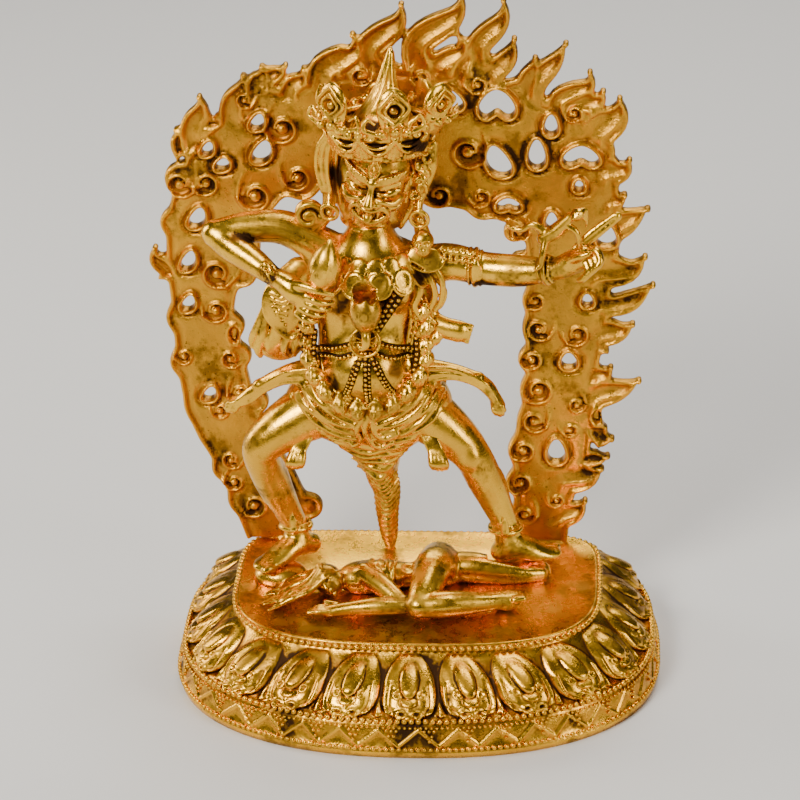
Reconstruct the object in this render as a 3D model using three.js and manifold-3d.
// Gilt cast-metal statue of a wrathful standing figure on a lotus base.
// Four separate castings: the lotus base, the flame aureole, the standing figure
// and the small figure that it treads on. Millimetres, +Z up, front towards -Y.
// Origin: centre of the underside of the base.
import * as THREE from 'three';
import { mergeVertices } from 'three/addons/utils/BufferGeometryUtils.js';
import Module from 'manifold-3d';

const wasm = await Module();
wasm.setup();

// Lotus base
const PLATE_A = 55;            // half width of the plate on top
const PLATE_B = 35;            // half depth of the plate, front half
const PLATE_B_BACK = 33;       // half depth, back half, which is squarer
const PLATE_N = 2.85;          // roundness exponent of the front half
const PLATE_N_BACK = 6;
const PLATE_Z = 27.5;          // top face that the figures stand on
const LIP_Z = 28.1;            // thin raised lip round the plate
const RIM_OUT = 20;            // bottom rim stands out this far past the plate
const RIM_N = 2.3;
const RIM_N_BACK = 3.4;
const BAND_TOP_Z = 10.4;       // top of the upright ornament band
const PETALS = 22;
const PETAL_BULGE = 3.4;

// Flame aureole: a pierced plate standing upright behind the figure
const AUREOLE_Y = 26.8;        // front face
const AUREOLE_T = 3;           // thickness
const LIP_CLEAR_X = 45.8;      // beyond this the aureole's feet rise over the plate's lip
const THIN_LIMB = 2.2;          // a limb under this radius has four sides
const SHORT_FLAME = 20;         // a flame under this length has one bend fewer
const BOSS_MIN_R = 3.7;        // smaller scrolls are surface relief only
const BOSS_PROUD = 1.3;        // scroll bosses stand proud of the front face

// Standing figure
const SOLE_Z = 33;             // both soles, on the trampled figure
const LEG_SIDES = 15;
const FINENESS = 0.40;         // share of the full facet count that the solids keep

// Geometry helpers

const V = (x, y, z) => new THREE.Vector3(x, y, z);

function solid(geometry) {
  geometry.deleteAttribute('uv');
  geometry.deleteAttribute('normal');
  const merged = mergeVertices(geometry, 1e-4);
  const index = merged.index.array;
  return new wasm.Manifold(new wasm.Mesh({
    numProp: 3,
    vertProperties: new Float32Array(merged.attributes.position.array),
    triVerts: new Uint32Array(index),
  }));
}

// Closed loft through rings of equal length, each running anticlockwise when seen
// from the far end, with a fan cap on both ends.
function loft(rings) {
  const n = rings[0].length;
  const pos = [];
  for (const ring of rings) for (const p of ring) pos.push(p.x, p.y, p.z);
  const centre = (ring) => ring.reduce((a, p) => a.add(p), V(0, 0, 0)).divideScalar(n);
  const c0 = centre(rings[0]);
  const c1 = centre(rings[rings.length - 1]);
  pos.push(c0.x, c0.y, c0.z, c1.x, c1.y, c1.z);
  const i0 = rings.length * n;
  const i1 = i0 + 1;
  const tri = [];
  for (let r = 0; r + 1 < rings.length; r++) {
    for (let i = 0; i < n; i++) {
      const j = (i + 1) % n;
      const a = r * n + i, b = r * n + j, c = (r + 1) * n + i, d = (r + 1) * n + j;
      tri.push(a, b, d, a, d, c);
    }
  }
  const last = (rings.length - 1) * n;
  for (let i = 0; i < n; i++) {
    const j = (i + 1) % n;
    tri.push(i0, j, i);
    tri.push(i1, last + i, last + j);
  }
  const g = new THREE.BufferGeometry();
  g.setAttribute('position', new THREE.Float32BufferAttribute(pos, 3));
  g.setIndex(tri);
  return g;
}

// Rounded limb along a smooth curve through points. Each point is
// [x, y, z, radius, flatness]; flatness scales the section along `flatDir`.
function limb(points, sidesFull = 8, stepsFull = 8, flatDir = V(0, 1, 0)) {
  const thin = Math.max(...points.map((p) => p[3])) < THIN_LIMB;
  const sides = Math.max(thin ? 4 : 5, Math.round(sidesFull * FINENESS));
  const steps = Math.max(1, Math.round(stepsFull * FINENESS));
  const fill = 1 / Math.sqrt(Math.cos(Math.PI / sides));  // a faceted section keeps its true girth
  const curve = new THREE.CatmullRomCurve3(
    points.map((p) => V(p[0], p[1], p[2])), false, 'centripetal');
  const at = (t, k, fallback) => {
    const f = t * (points.length - 1);
    const i = Math.min(Math.floor(f), points.length - 2);
    const a = points[i][k] ?? fallback, b = points[i + 1][k] ?? fallback;
    const s = f - i;
    const w = s * s * (3 - 2 * s);
    return a + (b - a) * w;
  };
  const rings = [];
  const ring = (t, scale, push) => {
    const c = curve.getPoint(t);
    const tan = curve.getTangent(t).normalize();
    const v = flatDir.clone().addScaledVector(tan, -flatDir.dot(tan)).normalize();
    const u = new THREE.Vector3().crossVectors(v, tan).normalize();
    const r = at(t, 3, 1) * scale * fill;
    const flat = at(t, 4, 1);
    c.addScaledVector(tan, push * at(t, 3, 1));
    const out = [];
    for (let i = 0; i < sides; i++) {
      const a = (i / sides) * 2 * Math.PI;
      out.push(c.clone().addScaledVector(u, r * Math.cos(a)).addScaledVector(v, r * flat * Math.sin(a)));
    }
    rings.push(out);
  };
  ring(0, 0.55, -0.6);
  for (let s = 0; s <= steps; s++) ring(s / steps, 1, 0);
  ring(1, 0.55, 0.6);
  return solid(loft(rings));
}

function ellipsoid(x, y, z, rx, ry, rz, around = 12, up = 8, tilt = 0) {
  const g = new THREE.SphereGeometry(1, Math.max(6, Math.round(around * FINENESS)),
    Math.max(3, Math.round(up * FINENESS)));
  g.rotateX(Math.PI / 2);
  g.scale(rx * 1.06, ry * 1.06, rz * 1.03);
  g.rotateY(tilt);
  g.translate(x, y, z);
  return solid(g);
}

function box(x0, x1, y0, y1, z0, z1) {
  const g = new THREE.BoxGeometry(x1 - x0, y1 - y0, z1 - z0);
  g.translate((x0 + x1) / 2, (y0 + y1) / 2, (z0 + z1) / 2);
  return solid(g);
}

// Outline in x and z, made into a plate from yFront back over `thick`.
function plateXZ(outline, yFront, thick) {
  const pts = outline.map((p) => new THREE.Vector2(p[0], p[1]));
  const g = new THREE.ExtrudeGeometry(new THREE.Shape(pts), { depth: thick, bevelEnabled: false });
  g.rotateX(Math.PI / 2);
  g.translate(0, yFront + thick, 0);
  return solid(g);
}

const join = (parts) => parts.reduce((a, b) => a.add(b));

// Lotus base

// Point of the base's plan outline at angle t, grown by `grow`; k runs from 0 at
// the plate to 1 at the bottom rim and rounds the corners.
function plan(t, grow, k, z) {
  const c = Math.cos(t), s = Math.sin(t);
  const back = s > 0;
  const n = (back ? PLATE_N_BACK : PLATE_N) * (1 - k) + (back ? RIM_N_BACK : RIM_N) * k;
  const a = PLATE_A + grow;
  const b = (back ? PLATE_B_BACK : PLATE_B) + grow;
  const r = Math.pow(Math.pow(Math.abs(c / a), n) + Math.pow(Math.abs(s / b), n), -1 / n);
  return V(r * c, r * s, z);
}

// Angles that space points evenly along the plan outline.
function evenAngles(count, grow, k) {
  const fine = 720;
  const length = [0];
  let prev = plan(0, grow, k, 0);
  for (let i = 1; i <= fine; i++) {
    const p = plan((i / fine) * 2 * Math.PI, grow, k, 0);
    length.push(length[i - 1] + p.distanceTo(prev));
    prev = p;
  }
  const out = [];
  for (let j = 0, i = 0; j < count; j++) {
    const want = ((j + 0.5) / count) * length[fine];
    while (length[i + 1] < want) i++;
    const f = (want - length[i]) / (length[i + 1] - length[i]);
    out.push(((i + f) / fine) * 2 * Math.PI);
  }
  return out;
}

// Three columns to a petal: one in the valley between petals, two on the swell.
function makeBase() {
  const angles = evenAngles(PETALS * 3, 10, 0.5);
  const ring = (grow, k, z) => angles.map((t) => plan(t, grow, k, z));
  const petalRing = (grow, k, z, swell, drop) => angles.map((t, i) => (
    i % 3 === 0 ? plan(t, grow, k, z) : plan(t, grow + swell, k, z - drop)));
  const body = solid(loft([
    ring(RIM_OUT - 0.6, 1, 0),
    ring(RIM_OUT, 1, 2.4),
    ring(RIM_OUT - 2.6, 1, BAND_TOP_Z),
    petalRing(RIM_OUT - 6.6, 0.9, 13.2, PETAL_BULGE * 0.8, 0.6),
    petalRing(RIM_OUT - 8.4, 0.8, 15.6, PETAL_BULGE, -0.6),
    petalRing(8.0, 0.5, 19.8, PETAL_BULGE * 0.9, -1.2),
    petalRing(3.0, 0.25, 23.6, PETAL_BULGE * 0.3, -0.6),
    ring(0.6, 0, 26.0),
    ring(0.6, 0, LIP_Z),
    ring(-0.6, 0, LIP_Z),
    ring(-0.7, 0, PLATE_Z),
  ]));
  return body;
}

// Flame aureole. All sizes here are x and z in the plate's own plane.

// Middle line of the arch with its half width at each station.
const ARCH = [
  [-45, 27.5, 10], [-48, 42, 11.5], [-54.5, 58, 10.5], [-61.5, 74, 11], [-64.5, 92, 10.5],
  [-66, 108, 9.5], [-64.5, 124, 12], [-60.5, 140, 14.5], [-52, 156, 15.4], [-36, 164.5, 16],
  [-15, 168, 19.5], [8, 165.5, 21], [28, 160, 20.5], [42, 150, 18.5], [46.5, 136, 14.5],
  [46, 120, 13], [45, 105, 12.5], [44, 90, 11], [42.3, 75, 11], [40.5, 60, 12],
  [38, 45, 9], [37, 34, 8.8], [36.5, 27.5, 9.5],
];

// One row for each tongue of flame: root x, root z, tip x, tip z, half width at
// the root, how far it bows to the left, how far it waves.
const FLAMES = [
  [-75.5, 118.6, -79.7, 129.6, 3.7, 0.05, -0.03], [-69.3, 160.1, -71.3, 168.4, 2.8, 0.04, -0.02],
  [-64.4, 161.7, -63.9, 179.0, 4.6, 0.04, 0], [-60.3, 168.2, -58.8, 172.7, 3.3, -0.08, 0],
  [-50.3, 167.6, -50.6, 185.8, 5.4, 0.1, 0], [-44.6, 178.2, -44.9, 188.7, 4.3, 0.05, 0.02],
  [-43.3, 180.3, -37.9, 189.1, 3.2, 0.1, 0.02], [-36.2, 176.6, -32.6, 188.1, 4.2, 0.02, 0.01],
  [-23.4, 178.9, -17.8, 199.0, 6.2, 0.05, 0.1], [-7.6, 184.4, -3.3, 208.4, 5.2, 0.16, 0.06],
  [4.8, 184.5, 14.6, 211.7, 5.4, 0.12, 0.05], [6.6, 184.5, 12.6, 199.9, 4.0, -0.14, 0.06],
  [14.4, 182.6, 16.4, 194.6, 3.4, 0.01, -0.01], [21.4, 186.1, 26.6, 209.8, 4.4, 0.06, 0.03],
  [20.7, 183.3, 29.7, 197.8, 4.0, -0.12, -0.05], [33.0, 177.3, 35.8, 191.8, 4.6, -0.03, -0.06],
  [34.5, 175.7, 44.8, 196.4, 4.0, 0.03, -0.03], [45.7, 170.6, 51.9, 187.4, 4.2, 0.12, 0.1],
  [47.2, 171.2, 55.8, 181.4, 5.0, 0.08, 0.08], [52.1, 162.4, 60.7, 179.1, 6.6, -0.06, 0],
  [54.5, 150.8, 63.8, 159.5, 5.4, 0, 0.05], [57.1, 141.3, 62.5, 148.2, 3.2, 0.1, 0.05],
  [55.3, 129.6, 69.5, 143.7, 5.3, 0.06, -0.04], [49.7, 114.2, 68.9, 127.9, 6.1, 0.04, 0.04],
  [53.6, 111.0, 71.4, 118.5, 4.0, -0.18, -0.08], [53.0, 95.5, 65.4, 105.3, 5.2, 0.09, 0.02],
  [53.2, 83.8, 58.9, 90.4, 3.8, 0, 0], [51.0, 71.2, 67.6, 86.0, 5.2, 0.12, 0],
  [52.8, 65.7, 59.5, 65.8, 4.6, 0.02, 0], [50.9, 55.7, 58.2, 59.6, 3.0, 0.05, 0],
  [40.1, 46.3, 56.4, 55.1, 7.6, 0.07, 0.03], [40.9, 33.6, 51.3, 43.6, 4.9, -0.04, -0.01],
];

// Round lobes on the edges of the arch: x, z, radius.
const LOBES = [
  [-73.4, 137.7, 4.3], [-70.6, 152.2, 5.0], [-72.3, 105.7, 5.2], [-72.1, 90.6, 5.0],
  [-68.1, 75.3, 4.8], [-63.9, 64.8, 3.6], [-61.3, 53.5, 4.4], [-56.4, 42.1, 4.6],
  [-50.5, 37.9, 4.2], [-35.5, 39.9, 4.3], [32.2, 38.1, 4.0], [30.8, 49.6, 4.4],
  [31.8, 61.0, 4.6], [35.2, 71.4, 4.6], [36.6, 82.2, 5.5], [34.5, 92.7, 4.1],
  [36.6, 103.1, 4.6], [35.5, 112.6, 3.5], [6.1, 147.8, 4.6], [20.1, 144.0, 4.6],
  [-50.9, 77.0, 4.0], [-55.2, 92.9, 3.6], [-57.3, 103.1, 4.0], [-46.3, 147.8, 5.0],
  [-34.1, 150.8, 5.4], [29.4, 135.5, 3.2], [31.2, 125.6, 3.0], [-53.6, 121.0, 4.8],
  [-53.0, 129.5, 5.5], [30.0, 178.0, 6.5], [44.0, 169.0, 7.0], [54.0, 162.0, 5.0],
  [-43.0, 176.0, 5.0], [19.0, 180.0, 6.0], [50.5, 72.0, 4.0],
];

// Drop-shaped piercings: x, z, width, height.
const HOLES = [
  [-46.6, 171.2, 3.7, 4.6], [-62.0, 162.4, 3, 4], [-57.7, 157.4, 3.7, 3.4],
  [-45.6, 161.6, 4.9, 6.7], [-66.1, 139.8, 4.3, 6.1], [-69.5, 125.5, 3.8, 6],
  [-70.2, 111.2, 3.5, 4.8], [-65.0, 80.1, 3.5, 4.3], [10.5, 178.7, 6.7, 6.7],
  [24.7, 159.0, 6.6, 9.4], [36.3, 161.3, 4.6, 8.8], [40.5, 170.6, 3.5, 6.1],
  [48.9, 151.1, 2.5, 3], [40.8, 139.4, 3.3, 5.5], [57.3, 134.5, 5.3, 6.4],
  [51.6, 113.3, 3, 3.8], [46.1, 92.7, 4.3, 4.9], [42.3, 61.2, 4.9, 7.9],
];

// Wide piercings, like a heart upside down: x, z, width, height.
const HEARTS = [[24.5, 176.7, 10.1, 9.5], [49.4, 160.3, 10.1, 6.6], [27.8, 144.7, 6.6, 3.8]];

// Spiral scrolls on the front face: x, z, radius.
const SCROLLS = [
  [-71.1, 150.7, 4.3], [-63.0, 150.9, 3.7], [-39.4, 168.9, 4.9], [-50.4, 177.9, 2.6],
  [-35.3, 153.0, 4.0], [-48.3, 146.9, 4.9], [-61.1, 121.1, 4.6], [-61.9, 108.5, 4.0],
  [-72.4, 92.7, 2.7], [-58.2, 92.0, 3.0], [-55.7, 79.9, 3.7], [-62.1, 74.0, 2.7],
  [-59.5, 56.7, 3.0], [-58.8, 48.7, 3.0], [-52.8, 40.4, 4.0], [-15.7, 185.7, 3.0],
  [2.1, 185.2, 2.7], [18.9, 183.0, 2.7], [15.8, 161.7, 5.2], [7.1, 147.5, 3.7],
  [19.6, 146.8, 3.0], [31.0, 135.7, 3.0], [47.3, 174.1, 2.7], [48.6, 101.4, 3.7],
  [48.5, 77.2, 2.7], [46.6, 68.5, 2.4], [42.4, 43.5, 2.4], [32.4, 38.2, 3.4],
  [31.0, 49.6, 3.6], [32.0, 61.0, 3.8], [35.4, 71.4, 3.8], [36.8, 82.2, 4.4],
  [34.7, 92.7, 3.4], [36.8, 103.1, 3.7], [35.7, 112.6, 2.9],
];

function archOutline(perSpan) {
  const curve = new THREE.CatmullRomCurve3(ARCH.map((p) => V(p[0], 0, p[1])), false, 'catmullrom', 0.5);
  const n = (ARCH.length - 1) * perSpan;
  const left = [], right = [];
  for (let i = 0; i <= n; i++) {
    const f = i / perSpan;
    const k = Math.min(Math.floor(f), ARCH.length - 2);
    const w = ARCH[k][2] + (ARCH[k + 1][2] - ARCH[k][2]) * (f - k);
    const p = curve.getPoint(i / n);
    const d = curve.getTangent(i / n);
    left.push([p.x - d.z * w, p.z + d.x * w]);
    right.push([p.x + d.z * w, p.z - d.x * w]);
  }
  return left.concat(right.reverse());
}

function flameOutline([rx, rz, tx, tz, w, bow, wave]) {
  const dx = tx - rx, dz = tz - rz;
  const length = Math.hypot(dx, dz);
  const n = length < SHORT_FLAME ? 3 : 4;
  const nx = -dz / length, nz = dx / length;
  const mid = [];
  for (let i = 0; i <= n; i++) {
    const s = i / n;
    const off = length * (bow * Math.sin(Math.PI * s) + wave * Math.sin(2 * Math.PI * s));
    mid.push([rx + dx * s + nx * off, rz + dz * s + nz * off]);
  }
  const left = [], right = [];
  for (let i = 0; i <= n; i++) {
    const a = mid[Math.max(i - 1, 0)], b = mid[Math.min(i + 1, n)];
    const l = Math.hypot(b[0] - a[0], b[1] - a[1]);
    const s = i / n;
    const half = w * (1 - Math.pow(s, 1.35)) * (1 + 0.25 * Math.sin(Math.PI * s));
    const ux = -(b[1] - a[1]) / l, uz = (b[0] - a[0]) / l;
    left.push([mid[i][0] + ux * half, mid[i][1] + uz * half]);
    if (i < n) right.push([mid[i][0] - ux * half, mid[i][1] - uz * half]);
  }
  return right.concat(left.reverse());
}

function roundOutline(x, z, r, n = 6) {
  const out = [];
  for (let i = 0; i < n; i++) {
    const a = (i / n) * 2 * Math.PI;
    out.push([x + r * Math.cos(a), z + r * Math.sin(a)]);
  }
  return out;
}

// Drop with its narrow end up.
function dropOutline(x, z, w, h, n = 6) {
  const out = [];
  for (let i = 0; i < n; i++) {
    const a = (-i / n) * 2 * Math.PI;
    out.push([x + (w / 2) * Math.sin(a) * (1 - 0.33 * Math.cos(a)), z + (h / 2) * Math.cos(a)]);
  }
  return out;
}

// Heart upside down: one point at the top, two round lobes below.
function heartOutline(x, z, w, h, n = 9) {
  const out = [];
  for (let i = 0; i < n; i++) {
    const a = (-i / n) * 2 * Math.PI;
    const notch = Math.exp(-Math.pow(Math.sin(a) / 0.4, 2)) * (Math.cos(a) < 0 ? 0.32 : 0);
    out.push([
      x + (w / 2) * Math.sin(a) * (1 - 0.3 * Math.cos(a)) * 0.95,
      z + (h / 2) * (Math.cos(a) + notch),
    ]);
  }
  return out;
}

function makeAureole() {
  const back = AUREOLE_Y;
  const plate = (outline) => plateXZ(outline, back, AUREOLE_T);
  const parts = [plate(archOutline(1))];
  for (const f of FLAMES) parts.push(plate(flameOutline(f)));
  for (const [x, z, r] of LOBES) parts.push(plate(roundOutline(x, z, r)));
  let body = join(parts);
  const cut = (outline) => plateXZ(outline, back - 3, AUREOLE_T + 6);
  for (const h of HOLES) body = body.subtract(cut(dropOutline(...h)));
  for (const h of HEARTS) body = body.subtract(cut(heartOutline(...h)));
  // Stands on the plate, and clears the raised lip at both ends
  body = body.subtract(box(-90, 90, 0, 60, -10, PLATE_Z));
  for (const x of [-90, LIP_CLEAR_X]) {
    body = body.subtract(box(x, x + 90 - LIP_CLEAR_X, 0, 60, 20, LIP_Z + 0.3));
  }
  const bosses = SCROLLS.filter(([, , r]) => r >= BOSS_MIN_R).map(([x, z, r]) => {
    const g = new THREE.LatheGeometry([
      new THREE.Vector2(0, -0.8), new THREE.Vector2(r * 0.9, -0.8),
      new THREE.Vector2(r * 0.4, BOSS_PROUD), new THREE.Vector2(0, BOSS_PROUD),
    ], 6);
    g.rotateX(Math.PI);
    g.translate(x, back, z);
    return solid(g);
  });
  return body.add(join(bosses));
}

// Standing figure

function makeFigure() {
  const parts = [];
  const add = (...p) => parts.push(...p);

  // Torso: centre x, centre y, height, half width, half depth
  const torso = [
    [-14.5, 10, 90, 18, 12], [-14.3, 8.0, 98, 18.4, 13], [-14.4, 9.5, 106.5, 15.2, 11],
    [-14.5, 10.5, 116, 15.6, 9.8], [-13.8, 10.5, 130, 20, 9.5], [-13.4, 10.5, 136.5, 18.5, 8],
    [-13.0, 9, 142.5, 9.2, 7.2], [-11.5, 7.8, 151, 7.4, 6.8],
  ];
  add(solid(loft(torso.map(([x, y, z, a, b]) => {
    const ring = [];
    for (let i = 0; i < 9; i++) {
      const t = (i / 9) * 2 * Math.PI;
      ring.push(V(x + a * Math.cos(t), y + b * Math.sin(t), z));
    }
    return ring;
  }))));

  // Head, hair behind it, topknot
  add(ellipsoid(-9.6, 7.0, 160.5, 10.2, 10.6, 12.6, 12, 8, 0.12));
  // The hair mound fills the inside of the crown up to the foot of the topknot
  add(ellipsoid(-8.7, 10.5, 172.5, 12.8, 11.8, 14.5, 12, 6));
  add(ellipsoid(-9.6, 11.5, 161, 14.2, 7.5, 12.5, 12, 6));
  add(limb([[-8.2, 11.8, 181, 7], [-7.3, 12.8, 188.5, 3.8], [-6.4, 13.5, 195, 2.2], [-5.6, 14, 199.6, 0.9]], 8, 5));
  add(limb([[-9.5, -1.2, 163.4, 1.8], [-9.8, -3.0, 158.4, 2.6]], 6, 1));

  // Crown: a band with five upright leaves
  const crown = [];
  for (let i = 0; i < 10; i++) crown.push((i / 10) * 2 * Math.PI);
  add(solid(loft([[171.0, 12.4, 11.2], [173.4, 14.0, 12.4], [176.8, 16.4, 14.2], [178.6, 15.4, 13.2]].map(
    ([z, a, b]) => crown.map((t) => V(-8.9 + a * Math.cos(t), 9.5 + b * Math.sin(t), z))))));
  const leaves = [[-72, 18.0, 4.6], [-20, 13.5, 4.2], [-142, 17.5, 4.4], [42, 11.0, 3.6], [168, 12.0, 3.6]];
  for (const [deg, height, half] of leaves) {
    const a = (deg * Math.PI) / 180;
    const cx = -8.9 + 15.4 * Math.cos(a), cy = 9.5 + 13.2 * Math.sin(a);
    const out = V(Math.cos(a), Math.sin(a), 0);
    add(limb([
      [cx, cy, 176, half * 0.9, 0.4],
      [cx + out.x * 0.8, cy + out.y * 0.8, 176 + height * 0.45, half, 0.45],
      [cx + out.x * 0.4, cy + out.y * 0.4, 176 + height * 0.78, half * 0.55, 0.6],
      [cx - out.x * 0.4, cy - out.y * 0.4, 176 + height * 0.95, 0.8, 0.8],
    ], 8, 4, out));
  }

  // Ribbons and hair that fall beside the face, earrings, shoulder swirl
  add(limb([[-25.2, 10, 172, 2.6, 0.7], [-27, 11, 164, 2.4, 0.7], [-24.6, 10, 156, 2.8, 0.8],
    [-27, 10, 148, 4.2, 0.8], [-31, 11, 143, 3.4, 0.8]], 6, 6));
  add(limb([[6.6, 10, 172, 2.6, 0.7], [5.6, 9.5, 163, 2.4, 0.7], [2.6, 9, 154, 2.8, 0.8],
    [1.6, 8, 146, 3.2, 0.9], [3.4, 6, 142.2, 3.8, 0.9]], 6, 6));

  // Scalloped collar
  const collar = [];
  for (let i = 0; i < 11; i++) {
    const t = Math.PI * (0.96 + (1.08 * i) / 10);
    const x = -12.6 + 19.5 * Math.cos(t), y = 7.6 + 10.5 * Math.sin(t);
    const z = 139.6 + 7.0 * Math.sin(t) * (1 - 0.1 * Math.cos(t));
    collar.push([x, y, z, 3.1, 0.75]);
  }
  add(limb(collar, 6, 14, V(0, 0, 1)));

  // Arm bent across the chest, hand with bud
  add(limb([[-27, 11, 137, 6], [-38, 11, 143.6, 5.2], [-49, 10, 144.2, 4.7], [-58.4, 8, 143.2, 3.9]], 9, 6));
  add(limb([[-58.2, 8, 142.6, 4.0], [-53, 5, 140.0, 4.6], [-46, 0.5, 137.0, 3.9], [-40.2, -3.6, 134.4, 2.9],
    [-36, -5.4, 133.2, 3.2]], 9, 7));
  add(limb([[-37, -5, 133.4, 2.8, 1.3], [-31, -7, 132.4, 3.6, 1.5], [-25.6, -8, 131.6, 3.4, 1.2],
    [-21.4, -8, 131.0, 1.8, 1.2]], 8, 5, V(0, 0, 1)));
  add(limb([[-30, -8.5, 134, 1.7], [-25.6, -9.4, 136.4, 1.4]], 6, 2));
  add(limb([[-23.4, -7.8, 131, 1.2], [-23.2, -7.4, 136.2, 2.8], [-22.8, -7.2, 140.8, 4.5], [-22.2, -7.6, 145.6, 3.2],
    [-21.6, -8, 149.6, 0.8]], 8, 7));

  // Bowl in front of the chest, its stem and the wheel on the belly
  add(limb([[-13.5, -0.4, 132.6, 3.4], [-13.5, -2.0, 128.4, 4.6], [-13.5, -2.2, 123.6, 4.0],
    [-13.4, -2.4, 119.4, 2.0], [-13.6, -2.6, 116.8, 1.4]], 9, 7));
  const wheel = new THREE.TorusGeometry(3.5, 0.9, 4, 8);
  wheel.rotateX(Math.PI / 2 - 0.2);
  wheel.translate(-13.9, -1.9, 113.2);
  add(solid(wheel));

  // Garland of heads hanging in an arc below the belly
  for (let i = 0; i < 9; i++) {
    const t = Math.PI * (1.07 + (0.86 * i) / 8);
    const x = -14.0 + 16.2 * Math.cos(t);
    const z = 106.4 + 15.4 * Math.sin(t);
    const y = 8.0 - 12.4 * Math.sqrt(Math.max(0, 1 - ((x + 14.3) / 17.4) ** 2));
    add(ellipsoid(x, y, z, 2.8, 2.6, 3.1, 6, 4));
  }

  // Arm stretched out to the side with armband, hand and what it holds
  add(limb([[3, 11, 131.4, 6.4], [11, 10.4, 133.2, 5.6], [20, 9.4, 131.8, 5.0], [31, 7, 132.0, 4.8],
    [40.2, 4.4, 133.6, 3.4], [44, 3.4, 134.8, 3.2]], 9, 9));
  add(limb([[42.5, 3.6, 134.6, 3.2, 0.8], [47.2, 2.8, 137.2, 4.6, 0.7], [50.8, 2.4, 139.2, 3.4, 0.8],
    [54.4, 2.2, 140.4, 1.6, 1]], 8, 5));
  add(limb([[46.6, 1.6, 138.6, 1.9], [47.6, 0.6, 142.0, 1.5]], 6, 2));
  add(limb([[38.8, 2.4, 144.8, 2.1], [42.4, 2.2, 147.4, 2.3], [46.6, 1.8, 152.0, 1.7]], 6, 4));
  add(ellipsoid(48.8, 1.4, 153.2, 2.6, 1.8, 1.7, 6, 4, -0.4));
  add(limb([[40.4, 2.6, 146.0, 1.6], [35.8, 3.0, 148.8, 1.2], [32.6, 3.4, 147.0, 0.9], [29.2, 4, 147.2, 0.8]], 6, 5));
  add(limb([[39.4, 1.4, 144.6, 1.3], [38.6, -0.2, 141.0, 1.1], [38.0, -0.6, 137.6, 1.0]], 6, 3));
  add(limb([[44.4, 1.8, 150.0, 1.4], [48.4, 0.8, 147.6, 1.1], [49.6, 1.4, 142.4, 1.2]], 6, 3));
  add(limb([[48.6, 2.6, 141.6, 1.3, 0.8], [60.4, 5.4, 150.6, 1.2, 0.7]], 6, 1));

  // Hide flap, ragged skin and the skin foot that hang at the sides
  add(limb([[-34, 10, 130, 5.0, 0.6], [-39, 9, 124, 6.0, 0.55], [-39, 7.6, 117, 6.2, 0.5],
    [-36.6, 6.4, 110.6, 2.6, 0.5]], 8, 6));
  add(limb([[-33, 13, 120, 6.0, 0.5], [-38.6, 13.4, 111, 7.6, 0.45], [-41, 13.4, 104.6, 7.4, 0.4],
    [-45, 14, 102.2, 3.4, 0.5]], 8, 6));
  add(limb([[-1, 10, 128, 4.8, 0.7], [3.2, 9, 121, 4.2, 0.7], [4.6, 8, 114.8, 3.0, 0.8],
    [10.5, 6.6, 113.4, 2.0, 1], [15.4, 6.0, 112.4, 2.2, 0.9]], 8, 8));
  add(limb([[0.5, 9, 124, 3.6, 0.8], [1.2, 7.4, 114, 3.4, 0.8], [0.6, 6, 106, 3.2, 0.8]], 8, 4));

  // Skirt, its paws and the tail that reaches the plate
  const skirt = [
    [-14.4, 9.4, 103, 15.8, 11.6], [-14.4, 9.8, 96.5, 19.6, 13.2], [-14.4, 9.6, 90, 24.5, 14.4], [-14.4, 9.8, 84.5, 26.0, 14.2],
    [-13.6, 10, 79, 22.5, 12.4], [-12.6, 10.6, 74, 14.0, 9.4], [-12, 11.2, 69, 7.4, 6.8],
    [-11.6, 11.8, 63.4, 5.0, 5.2],
  ];
  add(solid(loft(skirt.slice().reverse().map(([x, y, z, a, b]) => {
    const ring = [];
    for (let i = 0; i < 11; i++) {
      const t = (i / 11) * 2 * Math.PI;
      ring.push(V(x + a * Math.cos(t), y + b * Math.sin(t), z));
    }
    return ring;
  }))));
  add(limb([[-11.6, 11.8, 66, 5.4, 0.9], [-11.2, 12.6, 60, 4.8, 0.85], [-9.9, 15, 53, 4.3, 0.8],
    [-10.1, 18, 43.8, 3.6, 0.8], [-10, 21.6, 34.6, 2.8, 0.8], [-9.9, 24, 28.4, 1.9, 0.8]], 8, 9));
  add(limb([[3, 9, 96.6, 3.6], [10.6, 7.6, 98.4, 2.6], [18.2, 6.2, 96.4, 2.3], [22.6, 6, 92.6, 2.2],
    [25.4, 6, 87.0, 1.9]], 7, 7));
  add(limb([[-31, 8, 97.4, 3.8], [-38.6, 7.6, 96.6, 3.2], [-45.6, 8.4, 92.6, 2.6], [-51.6, 10, 87.6, 2.6],
    [-56.8, 12, 84.2, 1.8]], 7, 7));
  add(limb([[-35.5, 6, 78, 2.6], [-36.2, 3.6, 74.4, 3.6], [-35.2, 3.8, 69.0, 2.2]], 7, 4));
  add(limb([[8.6, 6, 79.5, 2.6], [7.4, 3.2, 76.4, 3.6], [7.2, 3.6, 71.6, 2.2]], 7, 4));

  // Legs: wide lunge, one knee bent outwards, the other leg straight
  add(limb([[-22, 10, 88, 10.5], [-33, 7.6, 83.6, 8.8], [-42, 4.6, 78.6, 7.2], [-47.0, 3.2, 73.6, 5.9],
    [-46.2, 4.4, 66, 5.3], [-43.6, 6.6, 58, 5.2], [-40.6, 8.4, 50, 4.3], [-38.2, 9.2, 43.2, 3.9],
    [-37.4, 8.8, 38.6, 4.2]], LEG_SIDES, 12));
  add(limb([[-5, 10, 88, 10], [5, 8.6, 81.6, 8.4], [12.4, 7.6, 75.4, 6.9], [17.2, 7.2, 69.4, 5.8],
    [20.8, 8, 61, 5.5], [24, 8.6, 53, 4.7], [26.8, 8.4, 45.6, 3.9], [28.2, 7.8, 39.0, 4.2]], LEG_SIDES, 11));
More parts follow.
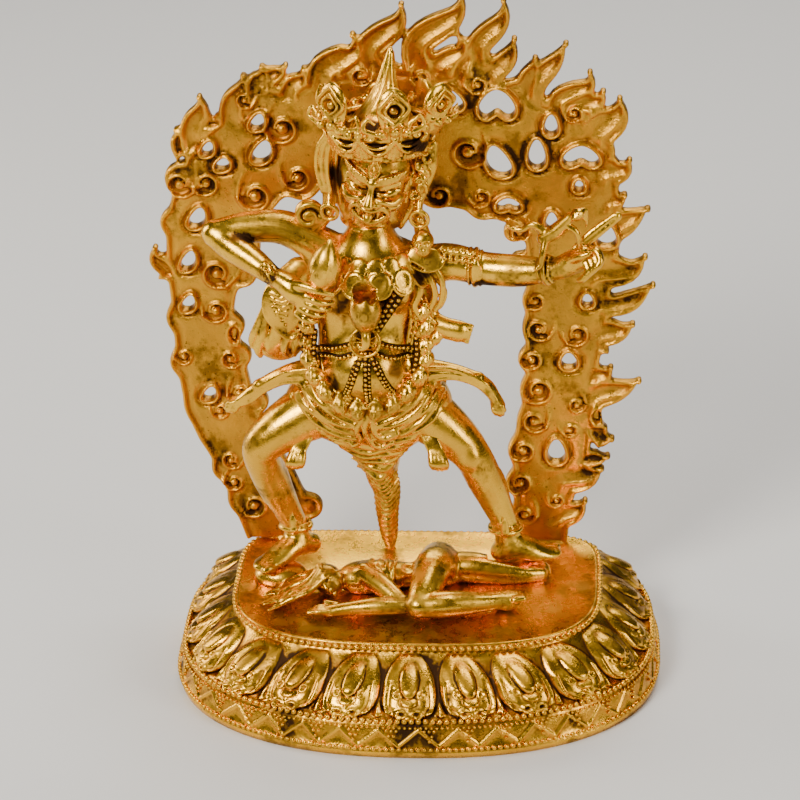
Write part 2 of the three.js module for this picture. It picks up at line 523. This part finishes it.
  // Feet: heel to toes
  add(limb([[-33.4, 10.4, 36.4, 3.9, 0.9], [-38, 7.0, 37.2, 4.6, 0.9], [-43.6, 2.4, 35.6, 4.4, 0.6],
    [-48.8, -1.8, 34.4, 3.6, 0.5]], 8, 6, V(0, 0, 1)));
  add(limb([[25.6, 7.2, 36.6, 3.9, 0.9], [30.6, 7.8, 37.2, 4.4, 0.9], [36.4, 9.0, 35.4, 4.2, 0.6],
    [42.2, 10.4, 34.2, 3.5, 0.5]], 8, 6, V(0, 0, 1)));

  const soles = box(-60, 50, -20, 20.5, 20, SOLE_Z).subtract(box(-20, 5, -30, 40, 10, 40));
  return join(parts).subtract(soles).subtract(box(-30, 10, 0, 40, 10, PLATE_Z));
}

// Small figure lying on the plate: head to the left, knees to the front
function makeTrampled() {
  const parts = [];
  const add = (...p) => parts.push(...p);
  add(ellipsoid(-28.4, -3.4, 32.0, 5.4, 4.8, 4.9, 10, 8));
  add(ellipsoid(-40.4, 2.6, 28.2, 11.6, 8.6, 6.2, 12, 6));
  add(limb([[-33, -2.6, 32.6, 3.6, 0.6], [-38, -4.2, 30.6, 5.0, 0.5], [-45, -6, 28.8, 3.6, 0.5],
    [-49.6, -7, 28.2, 1.2, 0.6]], 8, 5, V(0, 0, 1)));
  add(limb([[-23.6, -3, 31.0, 2.6], [-17.6, -3.4, 32.4, 5.6, 0.9], [-9, -1.2, 32.2, 5.6, 0.85],
    [-1, 1.4, 30.8, 4.4, 0.8], [7.4, 2.4, 32.2, 6.0, 0.9], [11, 2.6, 32, 4.6, 1]], 9, 9, V(0, 0, 1)));
  add(limb([[-15.6, -5.6, 34.2, 3.4], [-9.4, -11, 32.8, 3.0], [-2.8, -17.0, 30.4, 2.3]], 8, 4));
  add(limb([[-2.8, -17.0, 30.2, 2.2], [-12, -17.8, 30.4, 2.5], [-22, -18.4, 29.6, 2.0],
    [-31.6, -19, 28.8, 2.0, 0.7]], 8, 6, V(0, 0, 1)));
  add(limb([[9.4, 3.0, 34.6, 5.8], [7.6, -5.0, 36.0, 5.4], [5.0, -13.2, 34.2, 4.4], [2.6, -19.8, 31.2, 3.3]], 9, 6));
  add(limb([[2.6, -19.6, 31.0, 3.3], [10.6, -17.8, 31.4, 3.8], [19.6, -15.4, 31.0, 3.0],
    [26.0, -13.6, 30.8, 3.2], [31.6, -12.2, 30.8, 3.0, 1.1]], 8, 7, V(0, 0, 1)));
  add(limb([[9.6, 4.0, 32.2, 4.6], [17.6, 3.6, 32.2, 4.7], [26.4, 3.4, 31.0, 4.0], [33.6, 3.6, 30.4, 3.0],
    [38.4, 4.4, 30.2, 2.2]], 8, 7, V(0, 0, 1)));
  add(ellipsoid(33, 8.0, 28.6, 8.6, 5.8, 5.6, 10, 6));
  const feet = box(-60, -31.2, -5, 20, SOLE_Z, 50).add(box(21.5, 50, 2.0, 20, SOLE_Z, 50));
  return join(parts).subtract(feet).subtract(box(-70, 60, -40, 40, 10, PLATE_Z));
}

// Scene graph

const finish = {
  lotus_base: { color: 0xc98a2c, roughness: 0.34, metalness: 1 },
  flame_aureole: { color: 0xc47f2a, roughness: 0.48, metalness: 1 },
  standing_figure: { color: 0xd9a441, roughness: 0.26, metalness: 1 },
  trampled_figure: { color: 0xd29c3c, roughness: 0.28, metalness: 1 },
};

function mesh(name, manifold) {
  const m = manifold.getMesh();
  const g = new THREE.BufferGeometry();
  const pos = new Float32Array(m.numVert * 3);
  for (let i = 0; i < m.numVert; i++) {
    for (let k = 0; k < 3; k++) pos[3 * i + k] = m.vertProperties[m.numProp * i + k];
  }
  g.setAttribute('position', new THREE.BufferAttribute(pos, 3));
  g.setIndex(new THREE.BufferAttribute(new Uint32Array(m.triVerts), 1));
  g.computeVertexNormals();
  const out = new THREE.Mesh(g, new THREE.MeshStandardMaterial(finish[name]));
  out.name = name;
  return out;
}

const base = makeBase();
const aureole = makeAureole();
const trampled = makeTrampled();
const figure = makeFigure().subtract(trampled).subtract(base);

const statue = new THREE.Group();
statue.add(mesh('lotus_base', base));
statue.add(mesh('flame_aureole', aureole));
statue.add(mesh('standing_figure', figure));
statue.add(mesh('trampled_figure', trampled));

export default statue;
